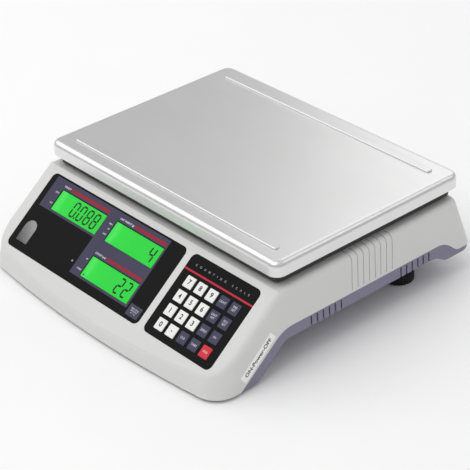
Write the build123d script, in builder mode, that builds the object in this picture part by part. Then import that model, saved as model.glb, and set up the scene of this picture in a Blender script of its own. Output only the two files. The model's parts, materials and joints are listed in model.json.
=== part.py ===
from build123d import *
import math
import os

# ---------------------------------------------------------------- driving dimensions (mm)
# Frame: +X right, +Y away from the operator, +Z up.  Z = 0 is the table.
# The origin is the centre of the footprint.

# Weighing pan
PAN_X = 340.0                # width
PAN_Y = 242.0                # depth
PAN_CENTRE_Y = 39.0
PAN_TOP_Z = 113.0
PAN_SKIRT = 15.0             # height of the folded edge
PAN_SHEET = 1.0
PAN_CORNER_R = 11.0
PAN_EDGE_R = 6.0
BEAD_OFFSET = 100.0          # beads lie this far in front of and behind the pan's centre
BEAD_LENGTH = 300.0
BEAD_WIDTH = 8.0
BEAD_HEIGHT = 1.8

# Housing envelope
HOUSING_TOP_Z = 86.5
HALF_WIDTH_FOOT = 176.0      # half width at table level
PAST_SIDES = 200.0           # half length of the prisms that cut right through from side to side
HALF_WIDTH_TOP = 174.5
FRONT_Y_FOOT = -174.9        # bowed front, on the centre line, at table level
FRONT_Y_TOP = -153.3
FRONT_BOW = 11.5             # how far the bow stands ahead of the front corners
REAR_Y_FOOT = 173.0
REAR_Y_WAIST = 175.6
REAR_Y_TOP = 155.0
WAIST_Z = 31.0
FRONT_CORNER_R = 25.0
REAR_CORNER_R = 14.0
WALL = 2.6
TOP_EDGE_R = 7.0

# Console panel: local x runs to the right, local y runs up the slope
PANEL_TILT = 38.7
PANEL_Y = -86.8
PANEL_Z = 82.5
OVERLAY_HEIGHT = 87.6
OVERLAY_SHEET = 0.5
DISPLAY_LEFT = -157.0
DISPLAY_RIGHT = 53.3
KEYPAD_LEFT = 61.6
KEYPAD_RIGHT = 157.0
OVERLAY_CORNER_R = 6.5
OVERLAY_GAP = 0.15

# Liquid crystal displays, by the centre of each window on the panel
LCD_W = 71.8
LCD_H = 22.6
LCD_CENTRES = {"lcd_weight": (-96.0, -23.5), "lcd_unit_weight": (-8.4, -23.3), "lcd_count": (-8.8, -64.3)}
LCD_SINK = 0.3
LCD_GLASS = 2.8
BACKLIGHT = 4.0
LCD_GAP = 0.4

# Keys
KEY_NAMES = [
    ["key_7", "key_8", "key_9", "function_key_1", "function_key_2"],
    ["key_4", "key_5", "key_6", "function_key_3", "function_key_4"],
    ["key_1", "key_2", "key_3", "function_key_5", "function_key_6"],
    ["key_0", "key_point", "function_key_7", "function_key_8", "red_key"],
]
KEY_FIRST_X = 77.9
KEY_FIRST_Y = -27.1
KEY_PITCH_X = 15.76
KEY_PITCH_Y = 15.65
KEY_W = 11.8
KEY_CORNER_R = 0.8
KEY_PROUD = 0.45
KEY_SINK = 1.0
KEY_GAP = 0.3

# Split between the two housings, seen from the side, and the underside of the base
SEAM_GAP = 0.3
SEAM_Z = 46.4
SEAM_REAR_Z = 30.9
SEAM_FOOT_Y = -133.5
SEAM_BEND_Y = -79.7
SEAM_BENDS = (30.0, 26.0, 11.0)          # radii of its three bends, front to rear
FLOOR_BENDS = (15.0, 18.0, 14.0)
FRONT_FOOT_Z = 3.5
TRAY_FOOT_Z = 4.3
FLOOR_Z = 33.7
FLOOR_REAR_Z = 25.3
FLOOR = 3.0
BASE_INSET = 0.8

# Side grooves and vent slots
GROOVE_COUNT = 8
GROOVE_FIRST_Y = 7.6
GROOVE_PITCH = 7.6
GROOVE_W = 1.2
GROOVE_DEPTH = 0.9
GROOVE_BOTTOM_Z = 49.0
SLOT_COUNT = 6
SLOT_GROUPS_Y = (-44.4, 73.6)
SLOT_PITCH = 7.68
SLOT_W = 2.0
SLOT_TOP_Z = 44.2

# Load cell and pan support
CELL_X = 150.0
CELL_Y = 40.0
CELL_H = 22.0
CELL_Z = 45.5
CELL_BOLT_X = (40.0, 66.0)
CELL_BOLT_R = 3.0
SUPPORT_X = 328.0
SUPPORT_Y = 230.0
SUPPORT_Z = 89.0             # lower rim of the support
SUPPORT_T = 8.0              # height of its rim
SUPPORT_SHEET = 3.0
SUPPORT_CORNER_R = 8.0
SUPPORT_RIB = 5.0
CUSHION_X = 125.0
CUSHION_Y = 80.0
CUSHION_H = 4.0
CUSHION_R = 10.0
TOP_OPENING = 54.0
COLUMN = 40.0

# Levelling feet
FOOT_X = 136.0
FOOT_FRONT_Y = -138.0
FOOT_REAR_Y = 109.0
FOOT_R = 16.5
FOOT_DISC_LOW = 0.5
FOOT_DISC_HIGH = 10.0
FOOT_STUD_R = 3.9
FOOT_STUD_TOP = 22.0
FOOT_KNURLS = 30
FOOT_PAD_R = 12.0
FOOT_NAMES = {
    "front_left": (-FOOT_X, FOOT_FRONT_Y),
    "front_right": (FOOT_X, FOOT_FRONT_Y),
    "rear_left": (-FOOT_X, FOOT_REAR_Y),
    "rear_right": (FOOT_X, FOOT_REAR_Y),
}

# Fasteners
SCREW_R = 1.5
SCREW_HEAD_R = 3.0
SCREW_HEAD_H = 2.0
SCREW_CLEARANCE = 0.15
CASE_SCREWS_FRONT = [(-60.0, -158.0), (60.0, -158.0)]
CASE_SCREWS_MIDDLE = [(-160.0, -50.0), (160.0, -50.0), (-160.0, 78.0), (160.0, 78.0)]
PLATE_SCREWS = [(-90.0, 26.0), (90.0, 26.0), (-90.0, 52.0), (90.0, 52.0)]

# Battery
BATTERY_X = 134.0
BATTERY_Y = 60.0
BATTERY_Z = 34.0
BATTERY_CENTRE_Y = 93.0
COVER_X = 142.0
COVER_Y = 46.0
COVER_CENTRE_Y = 92.0

# Power switch and jack, on the slanted underside behind the front feet
SWITCH_X = 138.0
JACK_X = 104.0
SWITCH_FLANGE = (24.0, 15.5)
SWITCH_BODY = (19.0, 12.6)
SWITCH_DEPTH = 15.0
SWITCH_WELL = (17.4, 10.8)
SWITCH_WELL_DEPTH = 8.0
ROCKER_W = 10.0
ROCKER_TILT = 9.0
ROCKER_AXIS_DEPTH = 2.0
JACK_R = 4.5
JACK_BORE_R = 3.2
JACK_PIN_R = 1.0
JACK_DEPTH = 12.0

os.makedirs("parts", exist_ok=True)

SIN_TILT = math.sin(math.radians(PANEL_TILT))
COS_TILT = math.cos(math.radians(PANEL_TILT))
PANEL = Plane(origin=(0, PANEL_Y, PANEL_Z), x_dir=(1, 0, 0), z_dir=(0, -SIN_TILT, COS_TILT))
CELL_CENTRE_Y = PAN_CENTRE_Y
PANEL_MIDDLE_V = -OVERLAY_HEIGHT / 2

# The slanted underside runs between these two points of the base's side profile
SLANT_LOW = (-112.6, TRAY_FOOT_Z)
SLANT_HIGH = (-76.5, FLOOR_Z)
SLANT_ANGLE = math.atan2(SLANT_HIGH[1] - SLANT_LOW[1], SLANT_HIGH[0] - SLANT_LOW[0])
SLANT = Plane(
    origin=(0, (SLANT_LOW[0] + SLANT_HIGH[0]) / 2, (SLANT_LOW[1] + SLANT_HIGH[1]) / 2),
    x_dir=(1, 0, 0),
    z_dir=(0, math.sin(SLANT_ANGLE), -math.cos(SLANT_ANGLE)),
)


def save(builder, name):
    """Label a finished piece and write it to its own file."""
    builder.part.label = name
    export_step(builder.part, f"parts/{name}.step")


# ---------------------------------------------------------------- shared shapes
def half_width(z):
    """Half width of the housing at height z."""
    return HALF_WIDTH_FOOT + (HALF_WIDTH_TOP - HALF_WIDTH_FOOT) * z / HOUSING_TOP_Z


def front_y(z):
    """Front of the housing on the centre line at height z."""
    return FRONT_Y_FOOT + (FRONT_Y_TOP - FRONT_Y_FOOT) * z / HOUSING_TOP_Z


def rear_y(z):
    """Rear of the housing at height z: it leans out down to the waist, then back in."""
    if z < WAIST_Z:
        return REAR_Y_FOOT + (REAR_Y_WAIST - REAR_Y_FOOT) * z / WAIST_Z
    return REAR_Y_WAIST + (REAR_Y_TOP - REAR_Y_WAIST) * (z - WAIST_Z) / (HOUSING_TOP_Z - WAIST_Z)


def envelope(inset):
    """The housing's outer form, drawn in by inset on every wall, before the panel is cut."""
    with BuildPart() as form:
        for level in (0.0, WAIST_Z, HOUSING_TOP_Z - inset):
            side = half_width(level) - inset
            front = front_y(level) + inset
            rear = rear_y(level) - inset
            with BuildSketch(Plane.XY.offset(level)) as outline:
                with BuildLine():
                    ThreePointArc((-side, front + FRONT_BOW), (0, front), (side, front + FRONT_BOW))
                    Line((side, front + FRONT_BOW), (side, rear))
                    Line((side, rear), (-side, rear))
                    Line((-side, rear), (-side, front + FRONT_BOW))
                make_face()
                fillet(outline.vertices().sort_by(Axis.Y)[:2], FRONT_CORNER_R - inset)
                fillet(outline.vertices().group_by(Axis.Y)[-1], REAR_CORNER_R - inset)
        loft(ruled=True)
    return form.part


def housing_form(inset, edge_radius):
    """The envelope with the sloping console panel and soft upper edges."""
    with BuildPart() as form:
        add(envelope(inset))
        split(bisect_by=PANEL.offset(-inset), keep=Keep.BOTTOM)
        top = form.faces().sort_by(Axis.Z)[-1]
        panel = form.faces().sort_by(lambda face: (face.normal_at() - PANEL.z_dir).length)[0]
        ridge = [edge for edge in top.edges() if abs(edge.center().Y - top.bounding_box().min.Y) < 0.01]
        rim = [edge for edge in top.edges() + panel.edges() if not any(edge.is_same(r) for r in ridge)]
        fillet(rim, edge_radius)
    return form.part


def seam_line(drop, foot_z=FRONT_FOOT_Z):
    """Side profile of the split line, front to rear, lowered by drop, from foot_z upwards."""
    run_per_rise = (SEAM_BEND_Y - SEAM_FOOT_Y) / (SEAM_Z - FRONT_FOOT_Z)
    return [
        (SEAM_FOOT_Y + drop + (foot_z - FRONT_FOOT_Z) * run_per_rise, foot_z),
        (SEAM_BEND_Y + drop / 2, SEAM_Z - drop),
        (132.7, SEAM_Z - drop),
        (151.0, SEAM_REAR_Z - drop),
        (190.0, SEAM_REAR_Z - drop),
    ]


def floor_line(lift):
    """Side profile of the underside, front to rear, raised by lift."""
    slant_shift = lift * math.tan(SLANT_ANGLE / 2)
    return [
        (SLANT_LOW[0] - slant_shift, SLANT_LOW[1] + lift),
        (SLANT_HIGH[0] - slant_shift, FLOOR_Z + lift),
        (121.5, FLOOR_Z + lift),
        (135.5, FLOOR_REAR_Z + lift),
        (160.0, FLOOR_REAR_Z + lift),
        (190.0, FLOOR_REAR_Z + 4.5 + lift),
    ]


def side_prism(points, half_length, soft=()):
    """A prism along X through (y, z) points; soft gives (index, radius) of the corners to round."""
    with BuildPart() as prism:
        with BuildSketch(Plane.YZ) as outline:
            with BuildLine():
                Polyline(*points, close=True)
            make_face()
            for index, radius in soft:
                y, z = points[index]
                corner = outline.vertices().sort_by_distance(Vector(y, z))[0]
                fillet(corner, radius)
        extrude(amount=half_length, both=True)
    return prism.part


def on_panel(u, v, sink=0.0):
    """The plane of the panel at (u, v), sunk below its surface."""
    return Plane(origin=PANEL.from_local_coords(Vector(u, v, -sink)), x_dir=PANEL.x_dir, z_dir=PANEL.z_dir)


def screw(centre, underside, length, head_radius=SCREW_HEAD_R):
    """A pan-head screw driven upwards: the head's top rests under the given height."""
    with BuildPart() as part:
        with BuildSketch(Plane.XY.offset(underside - SCREW_HEAD_H)):
            with Locations(centre):
                Circle(head_radius)
        extrude(amount=SCREW_HEAD_H)
        with BuildSketch(Plane.XY.offset(underside)):
            with Locations(centre):
                Circle(SCREW_R)
        extrude(amount=length)
        with BuildSketch(Plane.XY.offset(underside - SCREW_HEAD_H)):
            with Locations(centre):
                Rectangle(head_radius * 1.2, 0.8)
                Rectangle(0.8, head_radius * 1.2)
        extrude(amount=1.0, mode=Mode.SUBTRACT)
    return part.part


def key_places():
    """Every key's name with its centre on the panel."""
    places = []
    for row, names in enumerate(KEY_NAMES):
        for column, name in enumerate(names):
            u = KEY_FIRST_X + column * KEY_PITCH_X
            v = KEY_FIRST_Y - row * KEY_PITCH_Y
            places.append((name, u, v))
    return places


# ---------------------------------------------------------------- weighing pan
def pan_form(inset, height):
    """A block with the pan's rounded outline and rolled upper edge."""
    with BuildPart() as block:
        with BuildSketch(Plane.XY.offset(PAN_TOP_Z - PAN_SKIRT)):
            with Locations((0, PAN_CENTRE_Y)):
                RectangleRounded(PAN_X - 2 * inset, PAN_Y - 2 * inset, PAN_CORNER_R - inset)
        extrude(amount=height)
        fillet(block.faces().sort_by(Axis.Z)[-1].edges(), PAN_EDGE_R - inset)
    return block.part


def bead(width, height, base_z):
    """One long bead along X with round ends and a rounded back."""
    with BuildPart() as ridge:
        with BuildSketch(Plane.XY.offset(base_z)):
            SlotOverall(BEAD_LENGTH - (BEAD_WIDTH - width), width)
        extrude(amount=height)
        fillet(ridge.faces().sort_by(Axis.Z)[-1].edges(), height * 0.85)
    return ridge.part


with BuildPart() as weigh_pan:
    add(pan_form(0, PAN_SKIRT))
    add(pan_form(PAN_SHEET, PAN_SKIRT - PAN_SHEET), mode=Mode.SUBTRACT)
    with Locations((0, PAN_CENTRE_Y - BEAD_OFFSET, 0), (0, PAN_CENTRE_Y + BEAD_OFFSET, 0)):
        add(bead(BEAD_WIDTH, BEAD_HEIGHT, PAN_TOP_Z))
        add(
            bead(BEAD_WIDTH - 2 * PAN_SHEET, BEAD_HEIGHT, PAN_TOP_Z - PAN_SHEET),
            mode=Mode.SUBTRACT,
        )
save(weigh_pan, "weigh_pan")

# ---------------------------------------------------------------- pan support and cushions
CUSHION_PLACES = [(x, PAN_CENTRE_Y + y) for x in (-CUSHION_X, CUSHION_X) for y in (-CUSHION_Y, CUSHION_Y)]
CUSHION_TOP_Z = PAN_TOP_Z - PAN_SHEET
CUSHION_BASE_Z = CUSHION_TOP_Z - CUSHION_H
CELL_TOP_Z = CELL_Z + CELL_H
COLUMN_X = sum(CELL_BOLT_X) / 2
RIB_ANGLE = math.degrees(math.atan2(CUSHION_Y, CUSHION_X))
RIB_LENGTH = 2 * math.hypot(CUSHION_X, CUSHION_Y)
SUPPORT_TOP_Z = SUPPORT_Z + SUPPORT_T

with BuildPart() as pan_support:
    with BuildSketch(Plane.XY.offset(SUPPORT_Z)):
        with Locations((0, PAN_CENTRE_Y)):
            RectangleRounded(SUPPORT_X, SUPPORT_Y, SUPPORT_CORNER_R)
    extrude(amount=SUPPORT_T)
    fillet(pan_support.faces().sort_by(Axis.Z)[-1].edges(), 2)
    with BuildSketch(Plane.XY.offset(SUPPORT_Z)):
        with Locations((0, PAN_CENTRE_Y)):
            RectangleRounded(
                SUPPORT_X - 2 * SUPPORT_SHEET,
                SUPPORT_Y - 2 * SUPPORT_SHEET,
                SUPPORT_CORNER_R - SUPPORT_SHEET,
            )
            SlotOverall(RIB_LENGTH, SUPPORT_RIB, rotation=RIB_ANGLE, mode=Mode.SUBTRACT)
            SlotOverall(RIB_LENGTH, SUPPORT_RIB, rotation=-RIB_ANGLE, mode=Mode.SUBTRACT)
            RectangleRounded(150, 64, 8, mode=Mode.SUBTRACT)
        with Locations(*CUSHION_PLACES):
            Circle(CUSHION_R + 2, mode=Mode.SUBTRACT)
    extrude(amount=SUPPORT_T - SUPPORT_SHEET, mode=Mode.SUBTRACT)
    with BuildSketch(Plane.XY.offset(SUPPORT_TOP_Z)):
        with Locations(*CUSHION_PLACES):
            Circle(CUSHION_R + 2)
    extrude(amount=CUSHION_BASE_Z - SUPPORT_TOP_Z)
    with BuildSketch(Plane.XY.offset(CELL_TOP_Z)):
        with Locations((COLUMN_X, CELL_CENTRE_Y)):
            RectangleRounded(COLUMN, CELL_Y - 2, 3)
    extrude(amount=SUPPORT_Z - CELL_TOP_Z)
    with BuildSketch(Plane.XY.offset(CELL_TOP_Z)):
        with Locations(*[(x, CELL_CENTRE_Y) for x in CELL_BOLT_X]):
            Circle(CELL_BOLT_R + 0.3)
    extrude(amount=SUPPORT_TOP_Z - CELL_TOP_Z, mode=Mode.SUBTRACT)
    with BuildSketch(Plane.XY.offset(SUPPORT_TOP_Z - 7)):
        with Locations(*[(x, CELL_CENTRE_Y) for x in CELL_BOLT_X]):
            Circle(6)
    extrude(amount=7, mode=Mode.SUBTRACT)
save(pan_support, "pan_support")

with BuildPart() as pan_cushions:
    with BuildSketch(Plane.XY.offset(CUSHION_BASE_Z)):
        with Locations(*CUSHION_PLACES):
            Circle(CUSHION_R)
    extrude(amount=CUSHION_H)
    chamfer(pan_cushions.faces().filter_by(Axis.Z).group_by(Axis.Z)[-1].edges(), 0.8)
save(pan_cushions, "pan_cushions")

with BuildPart() as cell_top_bolts:
    for bolt_x in CELL_BOLT_X:
        with BuildSketch(Plane.XY.offset(CELL_TOP_Z - 16)):
            with Locations((bolt_x, CELL_CENTRE_Y)):
                Circle(CELL_BOLT_R)
        extrude(amount=16 + SUPPORT_TOP_Z - 7 - CELL_TOP_Z)
        with BuildSketch(Plane.XY.offset(SUPPORT_TOP_Z - 7)):
            with Locations((bolt_x, CELL_CENTRE_Y)):
                Circle(5)
        extrude(amount=6)
        with BuildSketch(Plane.XY.offset(SUPPORT_TOP_Z - 4)):
            with Locations((bolt_x, CELL_CENTRE_Y)):
                RegularPolygon(2.9, 6)
        extrude(amount=3, mode=Mode.SUBTRACT)
save(cell_top_bolts, "cell_top_bolts")

# ---------------------------------------------------------------- load cell and its plate
with BuildPart() as load_cell:
    with BuildSketch(Plane.XY.offset(CELL_Z)):
        with Locations((0, CELL_CENTRE_Y)):
            Rectangle(CELL_X, CELL_Y)
    extrude(amount=CELL_H)
    with BuildSketch(Plane.XZ.offset(-CELL_CENTRE_Y)):
        with Locations((0, CELL_Z + CELL_H / 2)):
            SlotOverall(48, 16)
    extrude(amount=CELL_Y, both=True, mode=Mode.SUBTRACT)
    with BuildSketch(Plane.XY.offset(CELL_Z)):
        with Locations(*[(x, CELL_CENTRE_Y) for x in CELL_BOLT_X]):
            Circle(CELL_BOLT_R + SCREW_CLEARANCE)
        with Locations(*[(-x, CELL_CENTRE_Y) for x in CELL_BOLT_X]):
            Circle(CELL_BOLT_R + SCREW_CLEARANCE)
    extrude(amount=CELL_H, mode=Mode.SUBTRACT)
save(load_cell, "load_cell")

PLATE_Z = FLOOR_Z + FLOOR
PLATE_T = 2.0
STOP_X = 56.0
STOP_GAP = 0.6

with BuildPart() as mounting_plate:
    with BuildSketch(Plane.XY.offset(PLATE_Z)):
        with Locations((0, CELL_CENTRE_Y)):
            RectangleRounded(200, 42, 4)
    extrude(amount=PLATE_T)
    with BuildSketch(Plane.XY.offset(PLATE_Z + PLATE_T)):
        with Locations((-COLUMN_X, CELL_CENTRE_Y)):
            Rectangle(COLUMN + 4, CELL_Y)
    extrude(amount=CELL_Z - PLATE_Z - PLATE_T)
    with BuildSketch(Plane.XY.offset(PLATE_Z)):
        with Locations(*[(-x, CELL_CENTRE_Y) for x in CELL_BOLT_X]):
            Circle(CELL_BOLT_R + SCREW_CLEARANCE)
        with Locations(*PLATE_SCREWS):
            Circle(SCREW_R + SCREW_CLEARANCE)
        with Locations((STOP_X, CELL_CENTRE_Y)):
            Circle(2.5 + SCREW_CLEARANCE)
    extrude(amount=CELL_Z - PLATE_Z, mode=Mode.SUBTRACT)
save(mounting_plate, "mounting_plate")

with BuildPart() as cell_base_bolts:
    for bolt_x in CELL_BOLT_X:
        with BuildSketch(Plane.XY.offset(FLOOR_Z + 1)):
            with Locations((-bolt_x, CELL_CENTRE_Y)):
                Circle(5)
        extrude(amount=FLOOR - 1.2)
        with BuildSketch(Plane.XY.offset(PLATE_Z - 0.2)):
            with Locations((-bolt_x, CELL_CENTRE_Y)):
                Circle(CELL_BOLT_R)
        extrude(amount=CELL_Z + 14 - PLATE_Z + 0.2)
save(cell_base_bolts, "cell_base_bolts")

with BuildPart() as overload_stop:
    with BuildSketch(Plane.XY.offset(PLATE_Z)):
        with Locations((STOP_X, CELL_CENTRE_Y)):
            Circle(2.5)
    extrude(amount=CELL_Z - STOP_GAP - PLATE_Z)
    with BuildSketch(Plane.XY.offset(PLATE_Z + PLATE_T)):
        with Locations((STOP_X, CELL_CENTRE_Y)):
            RegularPolygon(4.6, 6)
    extrude(amount=3)
save(overload_stop, "overload_stop")

# ---------------------------------------------------------------- upper housing
KEY_FIELD_U = KEY_FIRST_X + 2 * KEY_PITCH_X
KEY_FIELD_V = KEY_FIRST_Y - 1.5 * KEY_PITCH_Y
KEY_FIELD_W = 4 * KEY_PITCH_X + KEY_W + 3
KEY_FIELD_H = 3 * KEY_PITCH_Y + KEY_W + 3
LEVEL_U = -140.3
LEVEL_V = -66.2
LEVEL_W = 16.8
LEVEL_H = 24.6
VIAL_R = 7.0


def level_outline(plane, grow):
    """The level window, a round head over a square foot, grown outwards a little."""
    width = LEVEL_W + 2 * grow
    height = LEVEL_H + 2 * grow
    with BuildSketch(plane) as outline:
        with Locations((0, -width / 4)):
            Rectangle(width, height - width / 2)
        with Locations((0, height / 2 - width / 2)):
            Circle(width / 2)
    return outline.sketch


with BuildPart() as side_grooves:
    for groove in range(GROOVE_COUNT):
        with BuildSketch(Plane.XY.offset(GROOVE_BOTTOM_Z)):
            with Locations((0, GROOVE_FIRST_Y + groove * GROOVE_PITCH)):
                Rectangle(2 * HALF_WIDTH_FOOT + 4, GROOVE_W)
                Rectangle(2 * (HALF_WIDTH_TOP - 14), GROOVE_W, mode=Mode.SUBTRACT)
        extrude(amount=HOUSING_TOP_Z + 2 - GROOVE_BOTTOM_Z)
    add(housing_form(GROOVE_DEPTH, TOP_EDGE_R - GROOVE_DEPTH), mode=Mode.SUBTRACT)

BOSS_R = 4.5
BOSS_TOP = HOUSING_TOP_Z + 5

with BuildPart() as screw_bosses:
    with BuildSketch(Plane.XY.offset(TRAY_FOOT_Z + FLOOR + SEAM_GAP)):
        with Locations(*CASE_SCREWS_FRONT):
            Circle(BOSS_R)
    extrude(amount=BOSS_TOP)
    with BuildSketch(Plane.XY.offset(PLATE_Z + SEAM_GAP)):
        with Locations(*CASE_SCREWS_MIDDLE):
            Circle(BOSS_R)
    extrude(amount=BOSS_TOP)
    add(housing_form(WALL / 2, TOP_EDGE_R - WALL / 2), mode=Mode.INTERSECT)
    for boss_places, boss_floor in ((CASE_SCREWS_FRONT, TRAY_FOOT_Z), (CASE_SCREWS_MIDDLE, FLOOR_Z)):
        with BuildSketch(Plane.XY.offset(boss_floor)):
            with Locations(*boss_places):
                Circle(SCREW_R + SCREW_CLEARANCE)
        extrude(amount=20, mode=Mode.SUBTRACT)

with BuildPart() as upper_housing:
    add(housing_form(0, TOP_EDGE_R))
    add(side_grooves.part, mode=Mode.SUBTRACT)
    add(housing_form(WALL, TOP_EDGE_R - WALL), mode=Mode.SUBTRACT)
    add(screw_bosses.part)
    below_seam = seam_line(0) + [(190, -5), (-210, -5), (-210, FRONT_FOOT_Z)]
    add(side_prism(below_seam, PAST_SIDES, list(zip((1, 2, 3), SEAM_BENDS))), mode=Mode.SUBTRACT)
    with BuildSketch(Plane.XY.offset(HOUSING_TOP_Z - 2 * WALL)):
        with Locations((COLUMN_X, CELL_CENTRE_Y)):
            RectangleRounded(TOP_OPENING, TOP_OPENING, 6)
    extrude(amount=4 * WALL, mode=Mode.SUBTRACT)
    with BuildSketch(PANEL.offset(-OVERLAY_SHEET)):
        for left, right in ((DISPLAY_LEFT, DISPLAY_RIGHT), (KEYPAD_LEFT, KEYPAD_RIGHT)):
            with Locations(((left + right) / 2, PANEL_MIDDLE_V)):
                RectangleRounded(right - left, OVERLAY_HEIGHT, OVERLAY_CORNER_R)
    extrude(amount=3, mode=Mode.SUBTRACT)
    with BuildSketch(PANEL.offset(-2 * WALL)):
        for u, v in LCD_CENTRES.values():
            with Locations((u, v)):
                Rectangle(LCD_W + 2 * LCD_GAP, LCD_H + 2 * LCD_GAP)
        with Locations((KEY_FIELD_U, KEY_FIELD_V)):
            Rectangle(KEY_FIELD_W, KEY_FIELD_H)
        with Locations((LEVEL_U, LEVEL_V)):
            Circle(VIAL_R + 0.3)
    extrude(amount=4 * WALL, mode=Mode.SUBTRACT)
save(upper_housing, "upper_housing")

# ---------------------------------------------------------------- lower housing
FOOT_POCKET_R = FOOT_R + 2.5
FOOT_CUP_R = FOOT_POCKET_R + 2.0
FOOT_POCKET_Z = FOOT_DISC_HIGH + 0.4
PILLAR_R = 10.0
PILLAR_TOP = FOOT_STUD_TOP + 3.0
NUT_Z = 12.5
NUT_H = 5.0
NUT_R = 7.5
FRONT_PLACES = [place for name, place in FOOT_NAMES.items() if name.startswith("front")]
REAR_PLACES = [place for name, place in FOOT_NAMES.items() if name.startswith("rear")]
FRONT_TRAY_Y = -200.0
TRAY_JOIN_Y = -124.0

with BuildPart() as rear_tray:
    add(envelope(BASE_INSET))
    tray_outline = seam_line(SEAM_GAP, TRAY_FOOT_Z) + floor_line(0)[::-1]
    tray_bends = list(zip((1, 2, 3), SEAM_BENDS)) + list(zip((9, 8, 7), FLOOR_BENDS))
    add(side_prism(tray_outline, PAST_SIDES, tray_bends), mode=Mode.INTERSECT)

with BuildPart() as tray_hollow:
    add(envelope(BASE_INSET + FLOOR))
    hollow_outline = floor_line(FLOOR) + [(190, 70), (-140, 70), (-140, TRAY_FOOT_Z + FLOOR)]
    hollow_bends = (FLOOR_BENDS[0] + FLOOR, FLOOR_BENDS[1] + FLOOR, FLOOR_BENDS[2] - FLOOR)
    add(side_prism(hollow_outline, PAST_SIDES, list(zip((1, 2, 3), hollow_bends))), mode=Mode.INTERSECT)

with BuildPart() as front_tray:
    add(envelope(WALL + SEAM_GAP))
    front_outline = [
        (FRONT_TRAY_Y, TRAY_FOOT_Z),
        (TRAY_JOIN_Y, TRAY_FOOT_Z),
        (TRAY_JOIN_Y, TRAY_FOOT_Z + FLOOR),
        (FRONT_TRAY_Y, TRAY_FOOT_Z + FLOOR),
    ]
    add(side_prism(front_outline, PAST_SIDES), mode=Mode.INTERSECT)

with BuildPart() as vent_slots:
    for group_y in SLOT_GROUPS_Y:
        for slot in range(SLOT_COUNT):
            for side in (-1, 1):
                with BuildSketch(Plane.XY.offset(FLOOR_Z - 4)):
                    with Locations((side * HALF_WIDTH_FOOT, group_y + slot * SLOT_PITCH)):
                        Rectangle(9, SLOT_W)
                extrude(amount=SLOT_TOP_Z - FLOOR_Z + 4)

with BuildPart() as lower_housing:
    add(rear_tray.part)
    add(tray_hollow.part, mode=Mode.SUBTRACT)
    add(front_tray.part)
    with BuildSketch(Plane.XY.offset(TRAY_FOOT_Z)):
        with Locations(*FRONT_PLACES):
            Circle(FOOT_CUP_R)
    extrude(amount=FOOT_POCKET_Z + FLOOR - TRAY_FOOT_Z)
    with BuildSketch(Plane.XY.offset(FOOT_POCKET_Z)):
        with Locations(*FRONT_PLACES):
            Circle(PILLAR_R)
    extrude(amount=PILLAR_TOP - FOOT_POCKET_Z)
    with BuildSketch(Plane.XY.offset(FOOT_POCKET_Z)):
        with Locations(*REAR_PLACES):
            Circle(PILLAR_R)
    extrude(amount=FLOOR_Z + FLOOR - FOOT_POCKET_Z)
    with BuildSketch(Plane.XY):
        with Locations(*FRONT_PLACES):
            Circle(FOOT_POCKET_R)
    extrude(amount=FOOT_POCKET_Z, mode=Mode.SUBTRACT)
    with BuildSketch(Plane.XY.offset(FOOT_POCKET_Z)):
        with Locations(*FOOT_NAMES.values()):
            Circle(FOOT_STUD_R + 0.25)
    extrude(amount=FOOT_STUD_TOP + 1 - FOOT_POCKET_Z, mode=Mode.SUBTRACT)
    with BuildSketch(Plane.XY.offset(NUT_Z)):
        with Locations(*FOOT_NAMES.values()):
            RegularPolygon(NUT_R + 0.1, 6)
    extrude(amount=NUT_H + 0.1, mode=Mode.SUBTRACT)
    add(vent_slots.part, mode=Mode.SUBTRACT)
    with BuildSketch(Plane.XY):
        with Locations(*CASE_SCREWS_FRONT, *CASE_SCREWS_MIDDLE, *PLATE_SCREWS):
            Circle(SCREW_R + SCREW_CLEARANCE)
    extrude(amount=PLATE_Z + 1, mode=Mode.SUBTRACT)
    with BuildSketch(Plane.XY):
        with Locations(*CASE_SCREWS_FRONT):
            Circle(SCREW_HEAD_R + SCREW_CLEARANCE)
    extrude(amount=TRAY_FOOT_Z + SCREW_HEAD_H - 0.4, mode=Mode.SUBTRACT)
    with BuildSketch(Plane.XY.offset(FLOOR_Z)):
        with Locations(*[(-x, CELL_CENTRE_Y) for x in CELL_BOLT_X]):
            Circle(5.3)
    extrude(amount=FLOOR, mode=Mode.SUBTRACT)
    with BuildSketch(Plane.XY.offset(FLOOR_Z)):
        with Locations((0, COVER_CENTRE_Y)):
            RectangleRounded(COVER_X, COVER_Y, 4)
    extrude(amount=FLOOR, mode=Mode.SUBTRACT)
    with BuildSketch(SLANT.offset(-2 * FLOOR)):
        with Locations((SWITCH_X, 0)):
            Rectangle(SWITCH_BODY[0] + 0.4, SWITCH_BODY[1] + 0.4)
        with Locations((JACK_X, 0)):
            Circle(JACK_R + 0.2)
    extrude(amount=3 * FLOOR, mode=Mode.SUBTRACT)
save(lower_housing, "lower_housing")

# ---------------------------------------------------------------- overlays and keys
with BuildPart() as display_overlay:
    with BuildSketch(PANEL.offset(-OVERLAY_SHEET)):
        with Locations(((DISPLAY_LEFT + DISPLAY_RIGHT) / 2, PANEL_MIDDLE_V)):
            RectangleRounded(
                DISPLAY_RIGHT - DISPLAY_LEFT - 2 * OVERLAY_GAP,
                OVERLAY_HEIGHT - 2 * OVERLAY_GAP,
                OVERLAY_CORNER_R - OVERLAY_GAP,
            )
        for u, v in LCD_CENTRES.values():
            with Locations((u, v)):
                Rectangle(LCD_W, LCD_H, mode=Mode.SUBTRACT)
    extrude(amount=OVERLAY_SHEET)
    add(level_outline(on_panel(LEVEL_U, LEVEL_V, OVERLAY_SHEET), OVERLAY_GAP))
    extrude(amount=OVERLAY_SHEET, dir=PANEL.z_dir, mode=Mode.SUBTRACT)
save(display_overlay, "display_overlay")

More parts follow.
